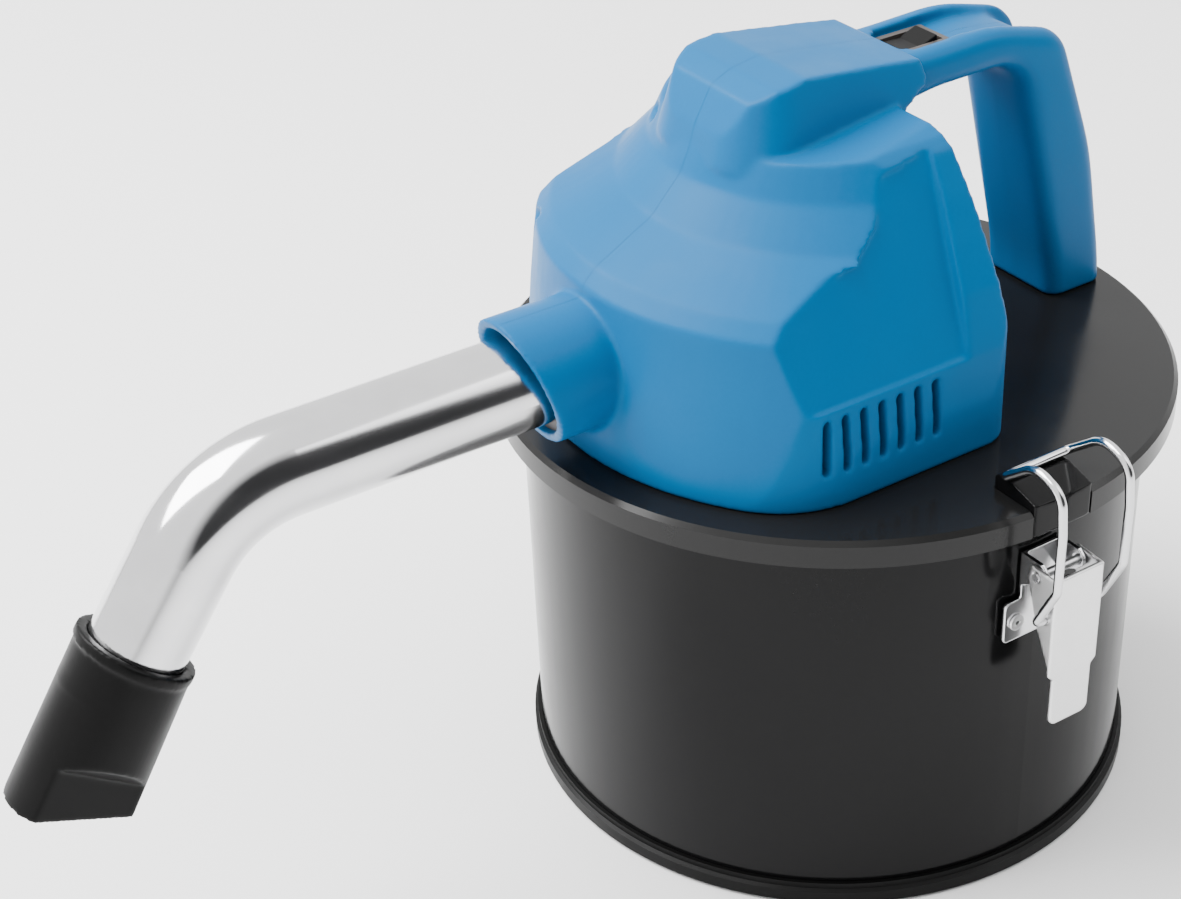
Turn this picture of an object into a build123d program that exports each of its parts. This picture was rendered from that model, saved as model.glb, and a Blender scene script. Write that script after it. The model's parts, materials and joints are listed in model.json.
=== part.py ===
"""A small canister shop vacuum: a steel drum, a clamped lid with a motor housing and
handle on it, and a bent suction tube with an angled nozzle.

Millimetres. The origin is the middle of the drum's underside, on the floor. +Z is up, the
tube points along -Y, the handle is at +Y, and the two latches are at +X and -X.
"""

from build123d import *
import os
from math import cos, radians, sin, tan

os.makedirs("parts", exist_ok=True)

# ---------------------------------------------------------------- driving dimensions
gap = 0.3  # between pieces that only stand next to each other


# Drum, base and lid
drum_r = 110.0
drum_wall = 1.0
drum_floor_z = 2.0
drum_rim_z = 152.0
base_r = 112.8
base_height = 8.5
lid_r = 119.5
lid_top = 157.7
lid_plate = 2.2
skirt_bottom = 148.2
gasket_height = 3.3

# Motor housing
shell = 2.5  # moulded wall
seam = 0.1  # between the two half shells
housing_z = lid_top + 0.05
front_r = 107.0
side_x = 80.5
rear_y = 15.0
vent_count = 7
vent_pitch = 7.2
vent_width = 3.0
vent_first_y = -63.0
vent_bottom = 170.0
vent_top = 190.0
ledge_z = 193.0

# Collar and suction tube
tube_z = 190.0
tube_r = 16.0
tube_wall = 1.2
collar_r = 22.7
collar_bore_r = 19.5
collar_top_y = -133.5
collar_bottom_y = -120.0
tube_inner_end = -95.0
duct_y = -79.5  # the upright part of the inlet elbow
bend_start_y = -210.8
bend_r = 44.3
bend_angle = 53.6
nozzle_rim = 32.5  # from the end of the bend to the nozzle's rim
nozzle_grip = 17.5  # how far the tube reaches into the nozzle
nozzle_r = 19.0

# Handle
handle_half = 18.5

# Motor, fan and filter, all on one upright axis
motor_y = -25.0
fan_r = 35.0
filter_r = 38.0
shaft_r = 2.5
fit = 0.05  # radial clearance of a shaft or a pin in its hole

# Latch, seen from the front: x is outward, z is up
pivot_x, pivot_z = 120.0, 133.0
bail_x, bail_z = 124.5, 119.0
wire_r = 1.5
bail_half = 14.0

# Screws: through the lid from below, and across the seam of the housing from the left
lid_screws_at = [(73, -45), (-73, -45), (38, -91.4), (-38, -91.4), (60, 6.5), (-60, 6.5), (0, 104)]
seam_screws_at = [(-85, 214), (0, 248), (-48, 250), (58, 260.5), (95, 190)]  # (y, z)


def disc(part_name, low, high, outer, inner=0.0, y=motor_y):
    """Writes an upright ring, or a disc where there is no inner radius."""
    with BuildPart() as made:
        with BuildSketch(Plane.XY.offset(low)):
            with Locations((0, y)):
                Circle(outer)
                if inner:
                    Circle(inner, mode=Mode.SUBTRACT)
        extrude(amount=high - low)
    write(made.part, part_name)


def write(part, name):
    """Names a finished piece and writes its file."""
    part.label = name
    export_step(part, f"parts/{name}.step")


# ---------------------------------------------------------------- base, drum, gasket, lid
with BuildPart() as base_cap:
    with BuildSketch(Plane.XZ):
        with BuildLine():
            Polyline(
                (0, 0),
                (base_r - 0.9, 0),
                (base_r, 0.9),
                (base_r, 5.4),
                (base_r - 1.3, 6.2),
                (base_r - 1.3, base_height),
                (drum_r + 0.1, base_height),
                (drum_r + 0.1, drum_floor_z - 0.1),
                (0, drum_floor_z - 0.1),
                close=True,
            )
        make_face()
    revolve(axis=Axis.Z)
write(base_cap.part, "base_cap")

bead_r = 1.5
with BuildPart() as drum:
    with BuildSketch(Plane.XZ):
        with BuildLine():
            Polyline(
                (0, drum_floor_z),
                (drum_r - 1.5, drum_floor_z),
                (drum_r, drum_floor_z + 1.5),
                (drum_r, drum_rim_z),
                (drum_r - drum_wall, drum_rim_z),
                (drum_r - drum_wall, drum_floor_z + 2),
                (drum_r - 2, drum_floor_z + drum_wall),
                (0, drum_floor_z + drum_wall),
                close=True,
            )
        make_face()
        with Locations((drum_r + bead_r - 0.5, drum_rim_z - bead_r)):
            Circle(bead_r)
    revolve(axis=Axis.Z)
    rivet_holes = [Plane((0, side * 10, 110.6), z_dir=(1, 0, 0)) for side in (-1, 1)]
    for plane in rivet_holes:
        with BuildSketch(plane):
            Circle(1.7)
        extrude(amount=150, both=True, mode=Mode.SUBTRACT)
write(drum.part, "drum")

gasket_z = drum_rim_z + 0.1
with BuildPart() as lid_gasket:
    with BuildSketch(Plane.XY.offset(gasket_z)):
        Circle(drum_r + 3.5)
        Circle(drum_r - 0.8, mode=Mode.SUBTRACT)
    extrude(amount=gasket_height)
write(lid_gasket.part, "lid_gasket")

keeper_half = 12.0
keeper_x = 100.0
with BuildPart() as lid:
    with BuildSketch(Plane.XZ):
        with BuildLine():
            Polyline(
                (0, lid_top - lid_plate),
                (lid_r - lid_plate, lid_top - lid_plate),
                (lid_r - lid_plate, skirt_bottom),
                (lid_r, skirt_bottom),
                (lid_r, lid_top - 1.6),
                (lid_r - 1.6, lid_top),
                (0, lid_top),
                close=True,
            )
        make_face()
    revolve(axis=Axis.Z)
    with BuildSketch(Plane.XY.offset(lid_top)):  # the air inlet, the filter's seat, the screws
        with Locations((0, duct_y)):
            Circle(17.3)
        with Locations((0, motor_y)):
            Circle(24)
        with Locations(*lid_screws_at):
            Circle(2.1)
    extrude(amount=-10, mode=Mode.SUBTRACT)
    with BuildSketch(Plane.XY.offset(lid_top - 1.5)):  # seats for the latch keepers
        with Locations((keeper_x + 20 - gap, 0), (-keeper_x - 20 + gap, 0)):
            Rectangle(40, 2 * (keeper_half + gap))
    extrude(amount=5, mode=Mode.SUBTRACT)
    with BuildSketch(Plane.XY.offset(skirt_bottom - 1)):
        with Locations((lid_r, 0), (-lid_r, 0)):
            Rectangle(7, 2 * (keeper_half + gap))
    extrude(amount=lid_top - skirt_bottom, mode=Mode.SUBTRACT)
write(lid.part, "lid")


# ---------------------------------------------------------------- motor housing
def closed_face(plane, points, inset=0.0):
    """A flat outline through the given corners, pulled in by the inset."""
    with BuildSketch(plane) as outline:
        with BuildLine():
            Polyline(*points, close=True)
        make_face()
        if inset:
            offset(amount=-inset, kind=Kind.INTERSECTION)
    return outline.sketch


def both_sides(right):
    """Corners on the right, followed by their mirror images from last to first."""
    return right + [(-x, z) for x, z in reversed(right)]


low_z = housing_z - 8  # outlines run below the housing, so that an inset leaves it open
tier_outline = [(-130, low_z), (-130, 255), (-60, 255), (4, 259.5), (8, 235), (12, 200), (rear_y, 170), (rear_y, low_z)]
barrel_right = [(side_x, low_z), (side_x, 176), (78.5, 193), (73, 213), (67.5, 226), (61, 241), (54, 254.5), (50, 257.5), (30, 264)]
dome_right = [(front_r, low_z), (front_r, 160), (104.5, 190), (101.5, 216), (96, 221.5), (74, 233), (62.5, 245), (57, 257), (50, 275)]
cover_side = [(-64, 245), (-59.5, 255), (-50, 272), (-42, 275.5), (-31, 277), (5, 272.3), (20, 270), (18, 262), (7, 256), (5, 245)]
cover_plan = [(35, -59.5), (28, 23), (-28, 23), (-35, -59.5)]
recess_corners = [(-74, 193), (-77.5, 226), (-41, 231), (-30, 240), (-24, 253), (-4, 256), (-6, 193)]
recess_lean = 0.4  # how far the sunk panel leans in, per millimetre of height


def recess(side, grow):
    """The cut that leaves the sunk panel in one side wall, above the vents."""
    panel_x = 77 - grow
    top = panel_x - (280 - ledge_z) * recess_lean
    bottom = panel_x + (ledge_z - 150) * recess_lean
    beyond = [(side * bottom, 150), (side * 130, 150), (side * 130, 280), (side * top, 280)]
    edge = closed_face(Plane.YZ, recess_corners, -grow)
    slope = closed_face(Plane.XZ, beyond)
    with BuildPart() as cutter:
        extrude(edge, amount=110, both=True)
        extrude(slope, amount=150, both=True, mode=Mode.INTERSECT)
    return cutter.part


def dome_form(inset):
    """The round front wall, the belt over it and the slope above, as a turned shape."""
    full = closed_face(Plane.XZ, both_sides(dome_right), inset)
    with BuildPart() as dome:
        with BuildSketch(Plane.XZ):
            add(full)
            with Locations((-150, 200)):
                Rectangle(300, 300, mode=Mode.SUBTRACT)
        revolve(axis=Axis.Z)
    return dome.part


def housing_form(inset):
    """The motor housing's outside, or with an inset the hollow inside it."""
    tiers = closed_face(Plane.YZ, tier_outline, inset)
    barrel = closed_face(Plane.XZ, both_sides(barrel_right), inset)
    dome = dome_form(inset)
    panels = [recess(side, inset) for side in (-1, 1)]
    with BuildPart() as form:
        with BuildSketch(Plane.XY.offset(housing_z - (1 if inset else 0))) as plan:
            Circle(front_r - inset)
            with Locations((0, rear_y - inset - 150)):
                Rectangle(2 * (side_x - inset), 300, mode=Mode.INTERSECT)
            fillet(plan.vertices().group_by(Axis.Y)[0], 40)
            fillet(plan.vertices().group_by(Axis.Y)[-1], 13)
        extrude(amount=130)
        extrude(tiers, 150, both=True, mode=Mode.INTERSECT)
        extrude(barrel, 150, both=True, mode=Mode.INTERSECT)
        add(dome, mode=Mode.INTERSECT)
        add(panels, mode=Mode.SUBTRACT)
    return form.part


def cover_form(inset):
    """The raised top cover, the third tier, which ends in front of the switch."""
    base = closed_face(Plane.XY, cover_plan, inset)
    side_face = closed_face(Plane.YZ, cover_side, inset)
    with BuildPart() as cover:
        with BuildSketch(Plane.XY.offset(250)) as plan:
            add(base)
            fillet(plan.vertices().group_by(Axis.Y)[0], 22)
        extrude(amount=30, taper=16)
        extrude(side_face, 60, both=True, mode=Mode.INTERSECT)
    return cover.part


trough = [(23, 285), (23, 264.5), (54, 264.7), (72, 262.5), (83, 254), (90, 238), (96, 226), (130, 226), (130, 285)]
trough_half = 10.5


def handle_form(inset):
    """The strap handle, a forward bar, a rear bend and a leg, with rounded edges."""
    outer = [(5, 268.5), (27, 268.5), (56, 269.3), (85.5, 261.5), (103.5, 213), (112.5, 165), (112.5, low_z)]
    inner = [(87, low_z), (86, 168), (66.4, 254.6), (30, 254.2), (5, 250.5)]
    with BuildPart() as strap:
        with BuildSketch(Plane.YZ):
            with BuildLine():
                FilletPolyline(*outer, radius=[80, 60, 17, 120, 100])
                Line(outer[-1], inner[0])
                FilletPolyline(*inner, radius=[80, 15, 60])
                Line(inner[-1], outer[0])
            make_face()
            if inset:
                offset(amount=-inset, kind=Kind.INTERSECTION)
        extrude(amount=handle_half - inset, both=True)
        rims = strap.faces().filter_by(Axis.X).edges()
        ends = rims.group_by(Axis.Y)[0] + rims.group_by(Axis.Z)[0]
        fillet([edge for edge in rims if edge not in ends], 5.8 - inset)
        with BuildSketch(Plane.YZ):
            with BuildLine():
                Polyline(*trough, close=True)
            make_face()
            if inset:
                offset(amount=inset, kind=Kind.INTERSECTION)
        extrude(amount=trough_half + inset / 2, both=True, mode=Mode.SUBTRACT)
        split(bisect_by=Plane.XY.offset(housing_z - (1 if inset else 0)), keep=Keep.TOP)
    return strap.part


# Collar: a short stub along -Y with a raked mouth, and its bore
def stub(radius, y_from, y_to):
    """A cylinder along the tube's axis."""
    with BuildPart() as made:
        with BuildSketch(Plane.XZ.offset(-y_from)):
            with Locations((0, tube_z)):
                Circle(radius)
        extrude(amount=y_from - y_to)
    return made.part


rake = Vector(0, collar_top_y - collar_bottom_y, 2 * collar_r)
mouth = Plane((0, collar_top_y, tube_z + collar_r), x_dir=(1, 0, 0), z_dir=Vector(1, 0, 0).cross(rake))
collar_inner_end = -99.5


def seam_boss(y, z, side):
    """A post from one side wall to the seam, for a screw across it."""
    with BuildPart() as post:
        with BuildSketch(Plane.YZ.offset(side * seam / 2)):
            with Locations((y, z)):
                Circle(4)
        extrude(amount=side * 100)
    return post.part


def lid_bosses():
    """Posts that take the screws from the lid, each grown into the wall beside it."""
    with BuildPart() as posts:
        with BuildSketch(Plane.XY.offset(housing_z)):
            with Locations(*lid_screws_at):
                Circle(6.5)
        extrude(amount=14)
    return posts.part


def cut_holes(plane, places, radius, depth):
    """Round cutters at the given places, from the plane along its normal."""
    with BuildPart() as cutters:
        with BuildSketch(plane):
            with Locations(*places):
                Circle(radius)
        extrude(amount=depth)
    return cutters.part


outside = housing_form(0) + cover_form(0) + handle_form(0)
hollow = housing_form(shell) + cover_form(shell) + handle_form(shell)
neck = split(stub(collar_r, collar_inner_end, -140), bisect_by=mouth, keep=Keep.BOTTOM)
throat = stub(collar_bore_r, collar_inner_end + 1, -141)
duct_room = stub(19, duct_y, collar_inner_end) + cut_holes(Plane.XY.offset(housing_z - 1), [(0, duct_y)], 19, 34)
lid_pilots = cut_holes(Plane.XY.offset(housing_z - 1), lid_screws_at, 2, 13)
with BuildPart() as pads:  # the louvres' deeper walls
    with BuildSketch(Plane.XY.offset(vent_bottom - 2)):
        with Locations((75, -41.4), (-75, -41.4)):
            Rectangle(4, 54)
    extrude(amount=vent_top - vent_bottom + 5)
vent_pads = pads.part
switch_y = 31.5
gland_at = (-45, 175)  # (x, z) of the cord's way out, in the rear wall

with BuildPart() as body:
    add(outside)
    add(hollow, mode=Mode.SUBTRACT)
    add(neck)
    add(throat, mode=Mode.SUBTRACT)
    add(lid_bosses() & outside)
    add(duct_room, mode=Mode.SUBTRACT)
    add(lid_pilots, mode=Mode.SUBTRACT)
    add(vent_pads & outside)
    with BuildSketch(Plane.YZ):
        middle = vent_first_y + vent_pitch * (vent_count - 1) / 2
        with Locations((middle, (vent_bottom + vent_top) / 2)):
            with GridLocations(vent_pitch, 1, vent_count, 1):
                RectangleRounded(vent_width, vent_top - vent_bottom, vent_width / 2 - 0.1)
    extrude(amount=100, both=True, mode=Mode.SUBTRACT)
    with BuildSketch(Plane.XY.offset(258)):
        with Locations((0, switch_y)):
            RectangleRounded(17, 22, 1)
    extrude(amount=15, mode=Mode.SUBTRACT)
    with BuildSketch(Plane.XZ.offset(-30)):
        with Locations(gland_at):
            Circle(6.6)
    extrude(amount=30, mode=Mode.SUBTRACT)

for side, name in ((1, "right_housing"), (-1, "left_housing")):
    posts = [seam_boss(y, z, side) & outside for y, z in seam_screws_at]
    half_plane = Plane.YZ.offset(side * seam / 2)
    with BuildPart() as half:
        add(body.part)
        add(posts)
        split(bisect_by=half_plane, keep=Keep.TOP if side > 0 else Keep.BOTTOM)
        if side > 0:
            add(cut_holes(Plane.YZ, seam_screws_at, 1.45, 10), mode=Mode.SUBTRACT)
        else:
            add(cut_holes(Plane.YZ.offset(-8), seam_screws_at, 1.5, 9), mode=Mode.SUBTRACT)
            add(cut_holes(Plane.YZ.offset(-100), seam_screws_at, 3.2, 92), mode=Mode.SUBTRACT)
    write(half.part, name)

with BuildPart() as housing_screws:
    for y, z in seam_screws_at:
        for start, length, radius in ((-10.1, 2, 3), (-10.1, 17, 1.4)):
            with BuildSketch(Plane.YZ.offset(start)):
                with Locations((y, z)):
                    Circle(radius)
            extrude(amount=length)
    with BuildSketch(Plane.YZ.offset(-10.1)):
        with Locations(*seam_screws_at):
            Rectangle(3, 0.7)
            Rectangle(0.7, 3)
    extrude(amount=1, mode=Mode.SUBTRACT)
write(housing_screws.part, "housing_screws")

screw_head_z = lid_top - lid_plate - 0.05
with BuildPart() as lid_screws:
    with BuildSketch(Plane.XY.offset(screw_head_z)):
        with Locations(*lid_screws_at):
            Circle(3.2)
    extrude(amount=-2.2)
    with BuildSketch(Plane.XY.offset(screw_head_z)):
        with Locations(*lid_screws_at):
            Circle(1.9)
    extrude(amount=12)
    with BuildSketch(Plane.XY.offset(screw_head_z - 2.2)):
        with Locations(*lid_screws_at):
            Rectangle(3.4, 0.8)
            Rectangle(0.8, 3.4)
    extrude(amount=1, mode=Mode.SUBTRACT)
write(lid_screws.part, "lid_screws")

with BuildPart() as cord_gland:
    with BuildSketch(Plane((gland_at[0], 0, gland_at[1]), x_dir=(1, 0, 0), z_dir=(0, 0, 1))):
        with BuildLine():
            Polyline((3.4, 6), (6.5, 6), (6.5, 15.6), (9, 15.6), (9, 17.6), (6, 18.5), (5, 30), (3.4, 30), close=True)
        make_face()
    revolve(axis=Axis((gland_at[0], 0, gland_at[1]), (0, 1, 0)))
write(cord_gland.part, "cord_gland")

# ---------------------------------------------------------------- switch in the handle
pivot_switch_z = 262.3
with BuildPart() as switch_frame:
    with BuildSketch(Plane.XY.offset(257.4)):
        with Locations((0, switch_y)):
            RectangleRounded(16.6, 21.6, 0.9)
    extrude(amount=9)
    with BuildSketch(Plane.XY.offset(258.8)):
        with Locations((0, switch_y)):
            Rectangle(12, 17.6)
    extrude(amount=10, mode=Mode.SUBTRACT)
    with BuildSketch(Plane.YZ):
        with Locations((switch_y, pivot_switch_z)):
            Circle(1.2 + fit)
    extrude(amount=7, both=True, mode=Mode.SUBTRACT)
write(switch_frame.part, "switch_frame")

rocker_tilt = 9.0
rocker_plane = Plane((0, switch_y, pivot_switch_z), x_dir=(0, 1, 0), z_dir=(1, 0, 0)).rotated((rocker_tilt, 0, 0))
with BuildPart() as switch_rocker:
    with BuildSketch(rocker_plane):
        with BuildLine():
            Polyline((-7.6, 4.8), (0, 3.2), (7.6, 4.8), (7.2, 0), (3, -2.4), (-3, -2.4), (-7.2, 0), close=True)
        make_face()
    extrude(amount=5.6, both=True)
    with BuildSketch(rocker_plane):
        Circle(1.2)
    extrude(amount=6.8, both=True)
write(switch_rocker.part, "switch_rocker")

# ---------------------------------------------------------------- tube, bush, nozzle, elbow
with BuildPart() as tube_bush:
    add(stub(19.4, -97, -118.5))
    add(stub(20.8, -97, -98.6))
    add(stub(tube_r + fit, -96, -120), mode=Mode.SUBTRACT)
write(tube_bush.part, "tube_bush")

turn = radians(bend_angle)
aim = Vector(0, -cos(turn), -sin(turn))  # which way the tube's lower end points
bend_end = Vector(0, bend_start_y - bend_r * sin(turn), tube_z - bend_r * (1 - cos(turn)))
tube_length_after = nozzle_rim + nozzle_grip
with BuildPart() as suction_tube:
    with BuildLine(Plane.YZ) as route:
        straight = Line((tube_inner_end, tube_z), (bend_start_y, tube_z))
        bend = JernArc(straight @ 1, straight % 1, bend_r, bend_angle)
        Line(bend @ 1, (bend @ 1) + (bend % 1) * tube_length_after)
    with BuildSketch(Plane((0, tube_inner_end, tube_z), x_dir=(1, 0, 0), z_dir=(0, -1, 0))):
        Circle(tube_r)
        Circle(tube_r - tube_wall, mode=Mode.SUBTRACT)
    sweep()
write(suction_tube.part, "suction_tube")

nozzle_plane = Plane(bend_end + aim * nozzle_rim, x_dir=(1, 0, 0), z_dir=aim)  # +y is its outer side
nozzle_cut = Plane(nozzle_plane.from_local_coords((0, 0, 56)), x_dir=(1, 0, 0), z_dir=aim).rotated((13, 0, 0))
flat_x = 11.5  # half width between the two flats near the mouth


def nozzle_form(inset):
    """The nozzle's lower body: a round tube that turns into one with two flats."""
    with BuildPart() as made:
        with BuildSketch(nozzle_plane):
            Circle(nozzle_r - inset)
        with BuildSketch(nozzle_plane.offset(66)):
            with Locations((0, -4)):
                Ellipse(nozzle_r - inset, 20.5 - inset)
        loft()
        for side in (-1, 1):
            with BuildSketch(Plane(nozzle_plane.origin, x_dir=(1, 0, 0), z_dir=nozzle_plane.y_dir)):
                with BuildLine():
                    inner_x = side * (flat_x - inset)
                    Polyline((side * 30, -34), (side * 19, -34), (inner_x, -40), (inner_x, -80), (side * 30, -80), close=True)
                make_face()
            extrude(amount=40, both=True, mode=Mode.SUBTRACT)
    return made.part


nozzle_outside = nozzle_form(0)
nozzle_inside = nozzle_form(2.4)
nozzle_rim_r = nozzle_r + 0.7
with BuildPart() as nozzle:
    add(nozzle_outside)
    with BuildSketch(nozzle_plane):
        Circle(nozzle_rim_r)
    extrude(amount=3.5)
    add(nozzle_inside, mode=Mode.SUBTRACT)
    with BuildSketch(nozzle_plane.offset(nozzle_grip + 0.3)):
        Circle(nozzle_r - 1)
    extrude(amount=2.5)
    with BuildSketch(nozzle_plane):
        Circle(nozzle_r - 0.5)
    extrude(amount=nozzle_grip)
    with BuildSketch(nozzle_plane):
        Circle(tube_r + fit)
    extrude(amount=nozzle_grip + 0.3, mode=Mode.SUBTRACT)
    with BuildSketch(nozzle_plane):
        Circle(tube_r - tube_wall)
    extrude(amount=30, mode=Mode.SUBTRACT)
    split(bisect_by=nozzle_cut, keep=Keep.BOTTOM)
write(nozzle.part, "nozzle")


def elbow_form(inset):
    """The inlet elbow: level at the tube, rounded over its corner, then straight down."""
    with BuildPart() as made:
        add(stub(17.5 - inset, duct_y, collar_inner_end + 2.7 - (1 if inset else 0)))
        with Locations((0, duct_y, tube_z)):
            Sphere(17.5 - inset)
        with BuildSketch(Plane.XY.offset(tube_z)):
            with Locations((0, duct_y)):
                Circle(16.8 - inset)
        extrude(amount=lid_top - 2 - tube_z - (1 if inset else 0))
    return made.part


elbow_outside = elbow_form(0)
elbow_inside = elbow_form(1.3)
with BuildPart() as inlet_elbow:
    add(elbow_outside)
    add(elbow_inside, mode=Mode.SUBTRACT)
write(inlet_elbow.part, "inlet_elbow")

# ---------------------------------------------------------------- motor and fan
disc("motor_mount_ring", lid_top + 0.1, 160.4, 33, 25)
fan_low, fan_high = 160.5, 186.0
with BuildPart() as fan_housing:
    with BuildSketch(Plane.XY.offset(fan_low)):
        with Locations((0, motor_y)):
            Circle(fan_r)
    extrude(amount=fan_high - fan_low)
    with BuildSketch(Plane.XY.offset(fan_low + 1.5)):
        with Locations((0, motor_y)):
            Circle(fan_r - 1.5)
    extrude(amount=fan_high - fan_low - 3, mode=Mode.SUBTRACT)
    with BuildSketch(Plane.XY.offset(fan_low - 1)):
        with Locations((0, motor_y)):
            Circle(14)
    extrude(amount=5, mode=Mode.SUBTRACT)
    with BuildSketch(Plane.XY.offset(fan_high - 3)):
        with Locations((0, motor_y)):
            Circle(5)
            with PolarLocations(30.5, 10):
                Circle(2.6)
    extrude(amount=5, mode=Mode.SUBTRACT)
write(fan_housing.part, "fan_housing")

blade_count = 9
with BuildPart() as fan_impeller:
    with BuildSketch(Plane.XY.offset(164)):
        with Locations((0, motor_y)):
            Circle(31)
            Circle(12, mode=Mode.SUBTRACT)
    extrude(amount=1)
    with BuildSketch(Plane.XY.offset(165)):
        with Locations((0, motor_y)):
            with PolarLocations(20.5, blade_count):
                Rectangle(19.5, 1.2, rotation=28)
    extrude(amount=14)
    with BuildSketch(Plane.XY.offset(179)):
        with Locations((0, motor_y)):
            Circle(31)
    extrude(amount=1.2)
    with BuildSketch(Plane.XY.offset(166)):
        with Locations((0, motor_y)):
            Circle(7)
    extrude(amount=16)
    with BuildSketch(Plane.XY.offset(160)):
        with Locations((0, motor_y)):
            Circle(shaft_r + fit)
    extrude(amount=30, mode=Mode.SUBTRACT)
write(fan_impeller.part, "fan_impeller")

disc("motor_shaft", 163, 245, shaft_r)
disc("lower_bearing", 187.2, 192.2, 7, shaft_r + fit)
disc("upper_bearing", 237.6, 242.4, 7, shaft_r + fit)
disc("commutator", 228, 236.8, 7.5, shaft_r + fit)
disc("motor_base_plate", fan_high + 0.2, 193, 27, 7.05)

slot_count = 12
with BuildPart() as armature:
    with BuildSketch(Plane.XY.offset(196)):
        with Locations((0, motor_y)):
            Circle(16)
            Circle(shaft_r + fit, mode=Mode.SUBTRACT)
            with PolarLocations(13.5, slot_count):
                Rectangle(6, 2.2, mode=Mode.SUBTRACT)
    extrude(amount=29)
write(armature.part, "armature")

with BuildPart() as armature_winding:
    with BuildSketch(Plane.XY.offset(193.6)):
        with Locations((0, motor_y)):
            Circle(14.5)
            Circle(6, mode=Mode.SUBTRACT)
    extrude(amount=2.3)
write(armature_winding.part, "armature_winding")

with BuildPart() as motor_stator:
    with BuildSketch(Plane.XY.offset(193.1)):
        with Locations((0, motor_y)):
            Circle(26.5)
            Circle(16.8, mode=Mode.SUBTRACT)
            with Locations((0, 22), (0, -22)):
                Rectangle(20, 4, mode=Mode.SUBTRACT)
    extrude(amount=37)
write(motor_stator.part, "motor_stator")

with BuildPart() as motor_bracket:
    with BuildSketch(Plane.XY.offset(237)):
        with Locations((0, motor_y)):
            Rectangle(52, 16)
            Circle(7 + fit, mode=Mode.SUBTRACT)
    extrude(amount=5.6)
    with BuildSketch(Plane.XY.offset(230.2)):
        with Locations((23, motor_y), (-23, motor_y)):
            Rectangle(5, 10)
    extrude(amount=7)
write(motor_bracket.part, "motor_bracket")

with BuildPart() as carbon_brushes:
    with BuildSketch(Plane.XY.offset(230.6)):
        with Locations((14, motor_y), (-14, motor_y)):
            Rectangle(12, 5)
    extrude(amount=4.6)
write(carbon_brushes.part, "carbon_brushes")

# ---------------------------------------------------------------- filter under the lid
spider_low, spider_high = 152.8, 155.4
with BuildPart() as filter_spider:
    with BuildSketch(Plane.XY.offset(spider_low)):
        with Locations((0, motor_y)):
            Circle(38)
            Circle(30, mode=Mode.SUBTRACT)
            Rectangle(66, 7)
            Rectangle(7, 66)
    extrude(amount=spider_high - spider_low)
write(filter_spider.part, "filter_spider")

filter_low, filter_high = 68.0, 152.6
disc("filter_top_cap", filter_high - 3.5, filter_high, filter_r, 24)
disc("filter_bottom_cap", filter_low, filter_low + 3.5, filter_r, 3.2)
pleats = 32
pleat_half = 360 / pleats / 2


def pleat_ring(outer, inner):
    """Corners of a star, alternately on the outer and the inner circle."""
    corners = []
    for i in range(2 * pleats):
        turn_by = radians(i * pleat_half)
        radius = outer if i % 2 == 0 else inner
        corners.append((radius * cos(turn_by), motor_y + radius * sin(turn_by)))
    return corners


with BuildPart() as filter_media:
    with BuildSketch(Plane.XY.offset(filter_low + 3.6)):
        with BuildLine():
            Polyline(*pleat_ring(filter_r - 1.5, filter_r - 8), close=True)
        make_face()
        with BuildLine():
            Polyline(*pleat_ring(filter_r - 3.5, filter_r - 10), close=True)
        make_face(mode=Mode.SUBTRACT)
    extrude(amount=filter_high - filter_low - 7.2)
write(filter_media.part, "filter_media")

disc("filter_rod", 58.5, spider_low - 0.1, 3)
with BuildPart() as filter_nut:
    with BuildSketch(Plane.XY.offset(59)):
        with Locations((0, motor_y)):
            Circle(9)
            with PolarLocations(9, 6):
                Circle(2.6)
            Circle(3 + fit, mode=Mode.SUBTRACT)
    extrude(amount=8.8)
write(filter_nut.part, "filter_nut")

# ---------------------------------------------------------------- latches
plate_x = drum_r + 0.3
cheek = 1.5
keeper_top = 163.2


def on_both_sides(part, name):
    """Writes the right-hand piece and its mirror image on the left."""
    write(part, f"right_{name}")
    write(mirror(part, about=Plane.YZ), f"left_{name}")


keeper_section = [
    (keeper_x, lid_top - 1.4),
    (keeper_x, keeper_top - 1),
    (keeper_x + 1, keeper_top),
    (108, keeper_top),
    (lid_r + 1, 159.6),
    (lid_r + 1, skirt_bottom),
    (lid_r - 2.1, skirt_bottom),
    (lid_r - 2.1, lid_top - 1.4),
]
keeper_face = closed_face(Plane.XZ, keeper_section)
with BuildPart() as keeper:
    extrude(keeper_face, amount=keeper_half, both=True)
    with BuildSketch(Plane.XY.offset(140)):
        Circle(lid_r)
    extrude(amount=40, mode=Mode.INTERSECT)
on_both_sides(keeper.part, "latch_keeper")

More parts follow.
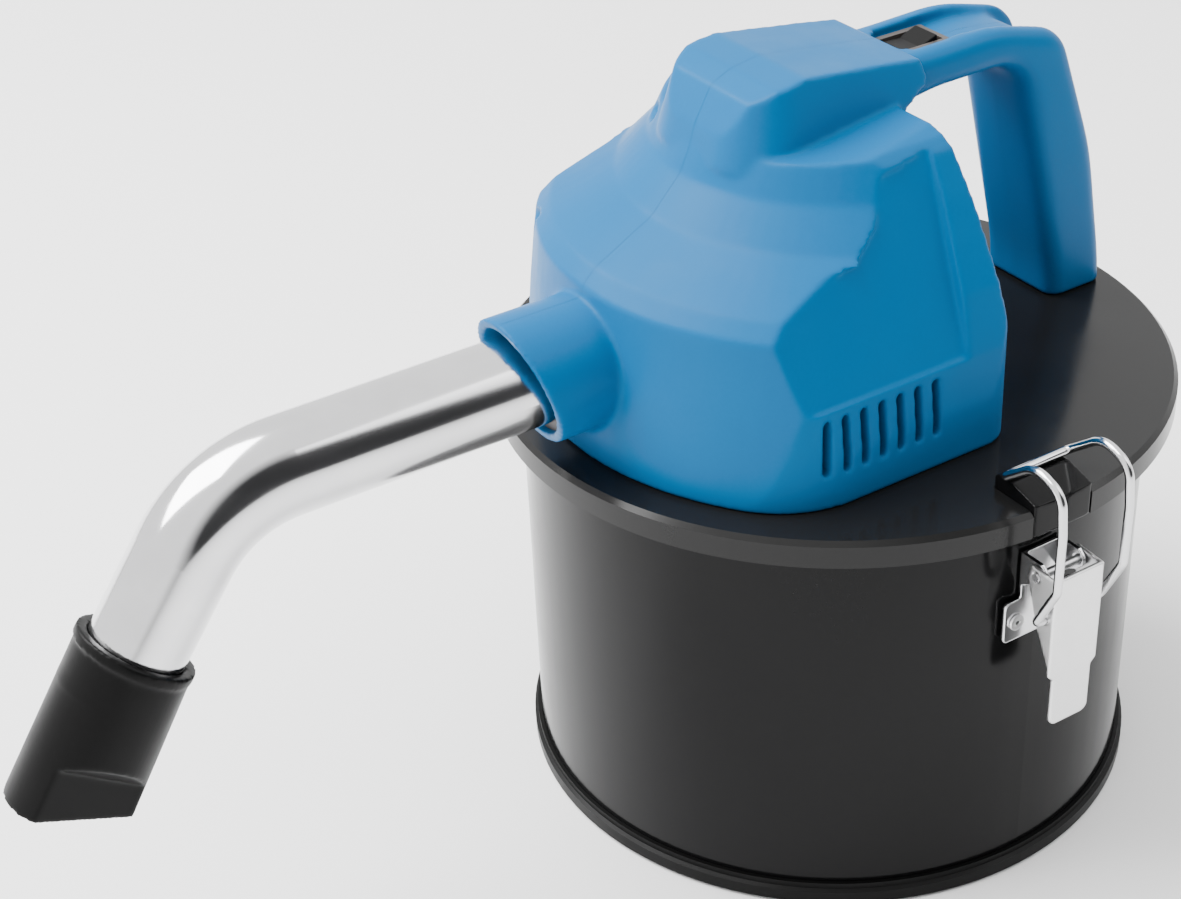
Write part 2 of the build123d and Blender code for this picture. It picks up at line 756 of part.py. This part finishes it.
with BuildPart() as bracket:
    with BuildSketch(Plane.YZ.offset(plate_x)):
        with Locations((0, 111)):
            RectangleRounded(30, 16, 2)
        with Locations((0, 120)):
            Rectangle(17, 34)
    extrude(amount=cheek)
    with BuildSketch(Plane.XZ) as cheeks:
        with BuildLine():
            Polyline((plate_x, 124), (pivot_x, pivot_z - 4), (pivot_x + 4, pivot_z), (pivot_x, pivot_z + 4), (plate_x, 137), close=True)
        make_face()
        fillet(cheeks.vertices().group_by(Axis.X)[-1], 3)
    extrude(amount=8.6, both=True)
    with BuildSketch(Plane.XZ):
        with Locations((plate_x + cheek + 10, 130)):
            Rectangle(20, 30)
    extrude(amount=8.6 - cheek, both=True, mode=Mode.SUBTRACT)
    with BuildSketch(Plane.XZ):
        with Locations((pivot_x, pivot_z)):
            Circle(wire_r + fit)
    extrude(amount=20, both=True, mode=Mode.SUBTRACT)
    with BuildSketch(Plane.YZ.offset(plate_x)):
        with Locations((10, 110.6), (-10, 110.6)):
            Circle(1.7)
    extrude(amount=cheek, mode=Mode.SUBTRACT)
on_both_sides(bracket.part, "latch_bracket")

with BuildPart() as pivot_pin:
    with BuildSketch(Plane.XZ):
        with Locations((pivot_x, pivot_z)):
            Circle(wire_r)
    extrude(amount=11, both=True)
on_both_sides(pivot_pin.part, "latch_pin")

lever_x = 127.4
ear_in, ear_out = 9.0, 10.3
with BuildPart() as lever:
    with BuildSketch(Plane.YZ.offset(lever_x)) as front:
        with BuildLine():
            Polyline((-ear_out, 135.8), (-ear_out, 98), (-8.3, 96), (-8.3, 77), (8.3, 77), (8.3, 96), (ear_out, 98), (ear_out, 135.8), close=True)
        make_face()
        fillet(front.vertices().group_by(Axis.Y)[0], 3)
    extrude(amount=1.6)
    with BuildSketch(Plane.XZ) as ears:
        with BuildLine():
            Polyline((lever_x + 0.5, 135.8), (117, 136.5), (115.8, 131), (121, 114.5), (lever_x + 0.5, 100), close=True)
        make_face()
        fillet(ears.vertices().group_by(Axis.X)[0], 2)
    extrude(amount=ear_out, both=True)
    with BuildSketch(Plane.XZ):
        with Locations((lever_x - 15, 120)):
            Rectangle(30, 60)
    extrude(amount=ear_in, both=True, mode=Mode.SUBTRACT)
    with BuildSketch(Plane.XZ):
        with Locations((pivot_x, pivot_z), (bail_x, bail_z)):
            Circle(wire_r + fit)
    extrude(amount=20, both=True, mode=Mode.SUBTRACT)
on_both_sides(lever.part, "latch_lever")

# The bail is one wire: in from the lever's ear, up past the lid's rim, over and across
leg_points = [(bail_x, bail_z), (133.2, 136), (133.4, 158), (132, 172), (120, 176.3), (105.5, 165)]
left_leg = [(x, -bail_half, z) for x, z in leg_points]
right_leg = [(x, bail_half, z) for x, z in reversed(leg_points)]
bail_route = [(bail_x, -8.9, bail_z)] + left_leg + right_leg + [(bail_x, 8.9, bail_z)]
leg_bends = [2.5, 6, 12, 8, 10, 3]
with BuildPart() as bail:
    with BuildLine():
        FilletPolyline(*bail_route, radius=leg_bends + leg_bends[::-1])
    with BuildSketch(Plane(bail_route[0], x_dir=(1, 0, 0), z_dir=(0, -1, 0))):
        Circle(wire_r)
    sweep()
on_both_sides(bail.part, "latch_bail")

with BuildPart() as rivets:
    with BuildSketch(Plane.YZ.offset(plate_x + cheek + 0.05)):
        with Locations((10, 110.6), (-10, 110.6)):
            Circle(3)
    extrude(amount=1)
    with BuildSketch(Plane.YZ.offset(plate_x + cheek + 0.5)):
        with Locations((10, 110.6), (-10, 110.6)):
            Circle(1.6)
    extrude(amount=-6)
    with BuildSketch(Plane.YZ.offset(plate_x - 10)):
        with Locations((10, 110.6), (-10, 110.6)):
            Circle(0.9)
    extrude(amount=20, mode=Mode.SUBTRACT)
on_both_sides(rivets.part, "latch_rivets")
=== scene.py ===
import json
import bmesh
import bpy
from mathutils import Matrix, Vector


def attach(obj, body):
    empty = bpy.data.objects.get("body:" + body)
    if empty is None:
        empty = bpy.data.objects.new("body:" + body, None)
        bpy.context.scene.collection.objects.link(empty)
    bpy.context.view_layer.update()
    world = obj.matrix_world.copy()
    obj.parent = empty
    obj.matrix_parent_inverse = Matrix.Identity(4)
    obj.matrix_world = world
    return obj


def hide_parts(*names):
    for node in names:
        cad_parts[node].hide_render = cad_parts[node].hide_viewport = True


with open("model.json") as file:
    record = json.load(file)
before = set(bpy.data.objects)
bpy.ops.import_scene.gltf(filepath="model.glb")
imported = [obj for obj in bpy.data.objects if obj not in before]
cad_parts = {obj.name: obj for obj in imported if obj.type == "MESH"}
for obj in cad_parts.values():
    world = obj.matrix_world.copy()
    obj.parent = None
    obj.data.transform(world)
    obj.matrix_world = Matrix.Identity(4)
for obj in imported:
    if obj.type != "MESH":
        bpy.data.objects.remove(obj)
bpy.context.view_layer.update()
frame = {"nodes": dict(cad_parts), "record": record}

RECORD = frame["record"]
BODY_OF = {node: body for body, nodes in RECORD["behaviour"]["bodies"].items() for node in nodes}
SLOT_OF = {entry["node"]: entry["material_slot"] for entry in RECORD["subparts"]}
MM = 0.001


# ---------------------------------------------------------------- materials
NOISE_LOW, NOISE_HIGH = 0.35, 0.65  # the band of a noise that is spread over the whole range


class Look:
    """A procedural material, built up from small node recipes."""

    def __init__(self, name, color, roughness, metallic=0.0):
        self.material = bpy.data.materials.new(name)
        self.material.use_nodes = True
        self.nodes = self.material.node_tree.nodes
        self.links = self.material.node_tree.links
        self.shader = self.nodes["Principled BSDF"]
        self.shader.inputs["Metallic"].default_value = metallic
        self.place = self.nodes.new("ShaderNodeTexCoord")
        self.roughness = roughness
        self.shader.inputs["Base Color"].default_value = tuple(color) + (1.0,)
        self.shader.inputs["Roughness"].default_value = roughness

    def sheen_level(self, level):
        """How strongly the surface mirrors at right angles, 0.5 being ordinary."""
        self.shader.inputs["Specular IOR Level"].default_value = level
        return self

    def noise(self, scale, detail, stretch=(1, 1, 1), roughness=0.55):
        mapping = self.nodes.new("ShaderNodeMapping")
        mapping.inputs["Scale"].default_value = stretch
        self.links.new(self.place.outputs["Object"], mapping.inputs["Vector"])
        noise = self.nodes.new("ShaderNodeTexNoise")
        noise.inputs["Scale"].default_value = scale
        noise.inputs["Detail"].default_value = detail
        noise.inputs["Roughness"].default_value = roughness
        self.links.new(mapping.outputs["Vector"], noise.inputs["Vector"])
        return noise.outputs["Fac"]

    def ramp(self, factor, low, high):
        ramp = self.nodes.new("ShaderNodeMapRange")
        ramp.inputs["From Min"].default_value = NOISE_LOW
        ramp.inputs["From Max"].default_value = NOISE_HIGH
        ramp.inputs["To Min"].default_value = low
        ramp.inputs["To Max"].default_value = high
        self.links.new(factor, ramp.inputs["Value"])
        return ramp.outputs["Result"]

    def tint(self, factor, other, amount):
        """Mixes the colour towards another one by the factor."""
        mix = self.nodes.new("ShaderNodeMix")
        mix.data_type = "RGBA"
        scaled = self.ramp(factor, 0.0, amount)
        self.links.new(scaled, mix.inputs["Factor"])
        source = self.shader.inputs["Base Color"]
        if source.links:
            self.links.new(source.links[0].from_socket, mix.inputs["A"])
        else:
            mix.inputs["A"].default_value = source.default_value
        mix.inputs["B"].default_value = tuple(other) + (1.0,)
        self.links.new(mix.outputs["Result"], source)

    def vary_roughness(self, factor, spread):
        changed = self.ramp(factor, self.roughness - spread, self.roughness + spread)
        self.links.new(changed, self.shader.inputs["Roughness"])

    def relief(self, factor, depth_mm, strength):
        bump = self.nodes.new("ShaderNodeBump")
        bump.inputs["Distance"].default_value = depth_mm * MM
        bump.inputs["Strength"].default_value = strength
        self.links.new(factor, bump.inputs["Height"])
        self.links.new(bump.outputs["Normal"], self.shader.inputs["Normal"])


def moulded(name, color, roughness, grain_mm, depth_mm, shade=0.85):
    look = Look(name, color, roughness)
    darker = [channel * shade for channel in color]
    look.tint(look.noise(14.0, 4.0), darker, 0.5)
    look.tint(look.noise(900.0, 2.0), darker, 0.35)
    look.vary_roughness(look.noise(45.0, 5.0), 0.05)
    look.relief(look.noise(1.0 / (grain_mm * MM), 2.0), depth_mm, 0.6)
    return look


def enamel(name, color, roughness):
    look = Look(name, color, roughness)
    look.tint(look.noise(7.0, 3.0), [channel * 1.25 for channel in color], 0.6)
    look.tint(look.noise(650.0, 4.0, roughness=0.7), [0.03, 0.03, 0.03], 0.03)
    look.vary_roughness(look.noise(30.0, 6.0), 0.05)
    look.relief(look.noise(320.0, 1.0), 0.02, 0.35)
    return look


def metal(name, color, roughness, stretch=(1, 1, 1), depth_mm=0.004):
    look = Look(name, color, roughness, metallic=1.0)
    look.tint(look.noise(60.0, 5.0), [channel * 0.9 for channel in color], 0.6)
    look.vary_roughness(look.noise(120.0, 6.0, stretch), 0.03)
    look.relief(look.noise(900.0, 3.0, stretch), depth_mm, 0.3)
    return look


BLUE = (0.0, 0.10, 0.26)
DRUM_BLACK = (0.0028, 0.0028, 0.003)
LID_BLACK = (0.007, 0.007, 0.007)
PLASTIC_BLACK = (0.0025, 0.0025, 0.0025)
LOOKS = {
    "blue_plastic": moulded("moulded_blue", BLUE, 0.38, 0.55, 0.018, 0.9).sheen_level(0.08),
    "black_steel": enamel("black_enamel", DRUM_BLACK, 0.16).sheen_level(0.12),
    "lid_steel": enamel("lid_enamel", LID_BLACK, 0.20).sheen_level(0.2),
    "black_plastic": moulded("moulded_black", PLASTIC_BLACK, 0.42, 0.5, 0.03).sheen_level(0.1),
    "grey_plastic": moulded("moulded_grey", (0.045, 0.038, 0.034), 0.48, 0.5, 0.03),
    "chrome": metal("polished_chrome", (0.70, 0.70, 0.71), 0.13, (1, 0.08, 1), 0.003),
    "bright_steel": metal("bright_plated_steel", (0.80, 0.80, 0.80), 0.34, (0.1, 1, 1), 0.006),
    "steel": metal("ground_steel", (0.55, 0.55, 0.56), 0.3, (1, 1, 0.1)),
    "rubber": moulded("soft_rubber", (0.022, 0.022, 0.022), 0.75, 0.8, 0.04),
    "core_steel": metal("stacked_sheet_steel", (0.30, 0.30, 0.31), 0.45, (0.05, 0.05, 6)),
    "copper": metal("bare_copper", (0.72, 0.33, 0.16), 0.3, (1, 1, 8)),
    "filter_paper": moulded("pleated_paper", (0.72, 0.69, 0.60), 0.9, 0.9, 0.08, 0.8),
    "carbon": moulded("brush_carbon", (0.03, 0.03, 0.03), 0.6, 0.4, 0.03),
    "aluminium": metal("cast_aluminium", (0.68, 0.68, 0.69), 0.42, (1, 1, 1), 0.02),
}


def finish_like(mesh, node):
    """Gives the mesh the one material of the node's slot."""
    mesh.materials.clear()
    mesh.materials.append(LOOKS[SLOT_OF[node]].material)


for node_name, node_object in frame["nodes"].items():
    finish_like(node_object.data, node_name)


# ---------------------------------------------------------------- pieces
def linked(name, data):
    """A new object with this data, in the scene."""
    piece = bpy.data.objects.new(name, data)
    bpy.context.scene.collection.objects.link(piece)
    return piece


def apply_modifiers(piece):
    """Replaces the piece's mesh by what its modifiers make of it."""
    bpy.context.view_layer.update()
    graph = bpy.context.evaluated_depsgraph_get()
    mesh = bpy.data.meshes.new_from_object(piece.evaluated_get(graph))
    piece.modifiers.clear()
    piece.data = mesh


def joined_copy(name, nodes, shifts=None):
    """One object with copies of the nodes' meshes, each moved by its shift."""
    mesh = bpy.data.meshes.new(name)
    form = bmesh.new()
    for node in nodes:
        before = len(form.verts)
        form.from_mesh(frame["nodes"][node].data)
        form.verts.ensure_lookup_table()
        if shifts:
            bmesh.ops.translate(form, verts=form.verts[before:], vec=shifts[node])
    bmesh.ops.remove_doubles(form, verts=form.verts[:], dist=1e-7)
    form.to_mesh(mesh)
    form.free()
    return linked(name, mesh)


def smooth(piece, steps, group_name=None, weight=None, where=None):
    """Evens out the surface, by each vertex's weight if a weight is given."""
    if weight:
        group = piece.vertex_groups.new(name=group_name)
        for vertex in piece.data.vertices:
            if where is None or where(vertex.co):
                group.add([vertex.index], weight(vertex.co), "REPLACE")
    smoothing = piece.modifiers.new("smooth", "SMOOTH")
    smoothing.factor = 0.5
    smoothing.iterations = steps
    if weight:
        smoothing.vertex_group = group_name
    apply_modifiers(piece)
    for polygon in piece.data.polygons:
        polygon.use_smooth = True


def soften(piece, voxel_mm, steps, weight=None):
    """Rounds the piece's edges: an even mesh, then smoothing, less where weight says so."""
    remesh = piece.modifiers.new("even", "REMESH")
    remesh.mode = "VOXEL"
    remesh.voxel_size = voxel_mm * MM
    apply_modifiers(piece)
    smooth(piece, steps, "soft", weight)


def adopt(piece, node):
    """The piece stands for a CAD node: same body, same finish."""
    finish_like(piece.data, node)
    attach(piece, BODY_OF[node])
    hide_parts(node)


# Housing: both halves as one soft moulding, then parted again in the middle plane
SEAM = 0.05 * MM  # each half's distance from the middle plane
CLOSE = 0.07 * MM  # how far each half moves in, so that the two overlap before remeshing
HOUSING_VOXEL, HOUSING_STEPS, LEG_STEPS = ((0.8, 14, 45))

VENTS_Z, VENTS_Y, VENTS_FROM_X = (0.166, 0.1945), (-0.068, -0.016), 0.06
SWITCH_ABOVE_Z, SWITCH_Y, SWITCH_HALF_X = 0.255, (0.018, 0.045), 0.011
COLLAR_BEFORE_Y = -0.112
FOOT_BELOW_Z = 0.1605
HELD, FOOT_WEIGHT, FREE = 0.2, 0.3, 0.8


def housing_weight(point):
    """Most smoothing on the free surfaces, little at the louvres, switch and collar."""
    at_vents = (
        VENTS_Z[0] < point.z < VENTS_Z[1]
        and VENTS_Y[0] < point.y < VENTS_Y[1]
        and abs(point.x) > VENTS_FROM_X
    )
    at_switch = (
        point.z > SWITCH_ABOVE_Z
        and SWITCH_Y[0] < point.y < SWITCH_Y[1]
        and abs(point.x) < SWITCH_HALF_X
    )
    if at_vents or at_switch or point.y < COLLAR_BEFORE_Y:
        return HELD
    return FOOT_WEIGHT if point.z < FOOT_BELOW_Z else FREE


LEG_FROM_Y, LEG_RAMP = 0.044, 0.02  # behind the switch, and how fast the rounding sets in
LEG_FOOT_Z, LEG_FOOT_RAMP, LEG_FOOT_LEAST = 0.1585, 0.012, 0.15


def behind_switch(point):
    return point.y > LEG_FROM_Y


def leg_weight(point):
    """Only the handle behind the switch; its leg is rounder in section."""
    start = min(max((point.y - LEG_FROM_Y) / LEG_RAMP, 0.0), 1.0)
    foot = min(max((point.z - LEG_FOOT_Z) / LEG_FOOT_RAMP, LEG_FOOT_LEAST), 1.0)
    return start * foot


housing = joined_copy(
    "housing_form",
    ["right_housing", "left_housing"],
    {"right_housing": Vector((-CLOSE, 0, 0)), "left_housing": Vector((CLOSE, 0, 0))},
)
soften(housing, HOUSING_VOXEL, HOUSING_STEPS, housing_weight)
smooth(housing, LEG_STEPS, "leg", leg_weight, behind_switch)
for node, side in (("right_housing", 1), ("left_housing", -1)):
    half = bmesh.new()
    half.from_mesh(housing.data)
    bmesh.ops.bisect_plane(
        half,
        geom=half.verts[:] + half.edges[:] + half.faces[:],
        plane_co=(side * SEAM, 0, 0),
        plane_no=(side, 0, 0),
        clear_inner=True,
    )
    half_mesh = bpy.data.meshes.new(node + "_moulding")
    half.to_mesh(half_mesh)
    half.free()
    adopt(linked(node + "_moulding", half_mesh), node)
bpy.data.objects.remove(housing)

SOFT_NODES = [  # node, voxel in mm, smoothing steps
    ("nozzle", 0.7, 5),
    ("switch_rocker", 0.3, 4),
    ("right_latch_lever", 0.4, 3),
    ("left_latch_lever", 0.4, 3),
    ("right_latch_bracket", 0.4, 2),
    ("left_latch_bracket", 0.4, 2),
    ("right_latch_keeper", 0.5, 3),
    ("left_latch_keeper", 0.5, 3),
    ("right_latch_rivets", 0.25, 3),
    ("left_latch_rivets", 0.25, 3),
]
for node, voxel, steps in SOFT_NODES:
    soft = joined_copy(node + "_soft", [node])
    soften(soft, voxel, steps)
    adopt(soft, node)

# ---------------------------------------------------------------- stage
FLOOR_HALF = 6.0
FLOOR_BELOW = 0.0003  # keeps the floor clear of the base
floor_corners = [
    (-FLOOR_HALF, -FLOOR_HALF, 0),
    (FLOOR_HALF, -FLOOR_HALF, 0),
    (FLOOR_HALF, FLOOR_HALF, 0),
    (-FLOOR_HALF, FLOOR_HALF, 0),
]
floor_mesh = bpy.data.meshes.new("floor")
floor_mesh.from_pydata(floor_corners, [], [(0, 1, 2, 3)])
floor = linked("floor", floor_mesh)
floor_look = Look("pale_floor", (0.88, 0.88, 0.88), 0.75)
floor_look.tint(floor_look.noise(3.0, 3.0), (0.86, 0.86, 0.865), 0.5)
floor_mesh.materials.append(floor_look.material)
floor.location = (0, 0, -FLOOR_BELOW)

# World: a white room with one dark side, for the chrome to mirror
WORLD_STRENGTH = 1.9
DARK_SIDE = (0.93, 0.12, 0.24)
WHITE, DARK = (1.0, 1.0, 1.0, 1.0), (0.03, 0.03, 0.031, 1.0)
WHITE_UNTIL, DARK_FROM = 0.66, 0.86
world = bpy.data.worlds.new("studio")
bpy.context.scene.world = world
world.use_nodes = True
tree = world.node_tree
background = tree.nodes["Background"]
background.inputs["Strength"].default_value = WORLD_STRENGTH
direction = tree.nodes.new("ShaderNodeTexCoord")
dark_towards = tree.nodes.new("ShaderNodeVectorMath")
dark_towards.operation = "DOT_PRODUCT"
dark_towards.inputs[1].default_value = Vector(DARK_SIDE).normalized()
tree.links.new(direction.outputs["Generated"], dark_towards.inputs[0])
fall = tree.nodes.new("ShaderNodeValToRGB")
for stop, position, color in zip(
    fall.color_ramp.elements, (WHITE_UNTIL, DARK_FROM), (WHITE, DARK)
):
    stop.position = position
    stop.color = color
tree.links.new(dark_towards.outputs["Value"], fall.inputs["Fac"])
tree.links.new(fall.outputs["Color"], background.inputs["Color"])

LIT_POINT = Vector((0, -0.05, 0.15))


def softbox(name, place, side, power):
    """A square area light of this side and power, turned to the object."""
    light_data = bpy.data.lights.new(name, "AREA")
    light_data.shape = "RECTANGLE"
    light_data.size = light_data.size_y = side
    light_data.energy = power
    light = linked(name, light_data)
    light.location = place
    light.rotation_euler = (LIT_POINT - Vector(place)).to_track_quat("-Z", "Y").to_euler()


softbox("key", (-0.75, -0.85, 1.6), 1.5, 105)
softbox("fill", (0.9, 0.9, 1.3), 1.0, 8)

# Camera: the one that was fitted to the photograph
CAMERA_AT = (0.5448, -0.4318, 0.55825)
CAMERA_RIGHT = Vector((0.5409, 0.8401, -0.0417))
CAMERA_FORWARD = Vector((-0.7221, 0.4383, -0.5352))
camera_data = bpy.data.cameras.new("camera")
camera_data.sensor_width = 36.0
camera_data.lens = 68.82
camera = linked("camera", camera_data)
forward = CAMERA_FORWARD.normalized()
up = CAMERA_RIGHT.normalized().cross(forward).normalized()
right = forward.cross(up)
turned = Matrix((right, up, -forward)).transposed().to_4x4()
camera.matrix_world = Matrix.Translation(CAMERA_AT) @ turned
bpy.context.scene.camera = camera

bpy.context.view_layer.update()
